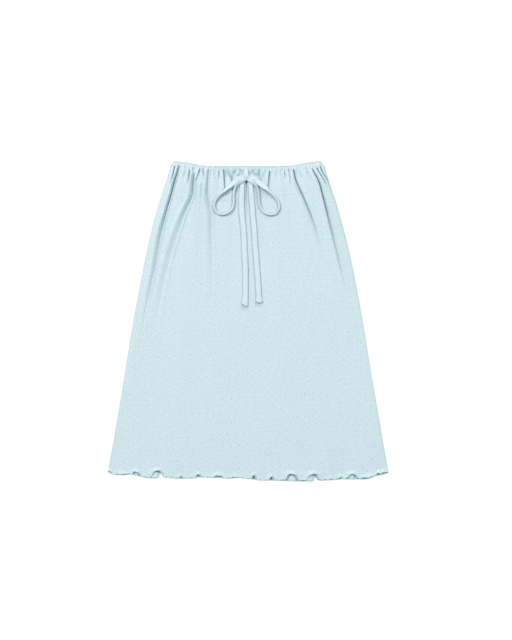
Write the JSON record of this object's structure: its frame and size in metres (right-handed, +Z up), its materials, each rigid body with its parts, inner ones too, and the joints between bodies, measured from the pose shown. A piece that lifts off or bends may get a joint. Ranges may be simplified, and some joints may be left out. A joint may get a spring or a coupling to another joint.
{
  "type": "drawstring skirt",
  "caption": "Knee-length A-line skirt of eyelet knit, laid flat, with a gathered casing, a tied drawstring bow and a curled lettuce hem.",
  "frame": {"origin": "on the surface that the skirt lies on, under the middle of its outline", "axes": "+Z up off the surface, +Y from the hem to the waist, +X to the right for someone who looks down on the front"},
  "size_m": [0.5932, 0.6775, 0.0171],
  "materials": {
    "cloth": "matt pale aqua knit jersey with small eyelets",
    "tape": "matt pale aqua knit tape"
  },
  "bodies": {
    "root": {"front_panel": "cloth", "back_panel": "cloth", "casing_front": "cloth", "casing_back": "cloth", "drawstring_knot": "tape", "loop_left": "tape", "loop_right": "tape", "tail_left": "tape", "tail_right": "tape"}
  },
  "joints": []
}
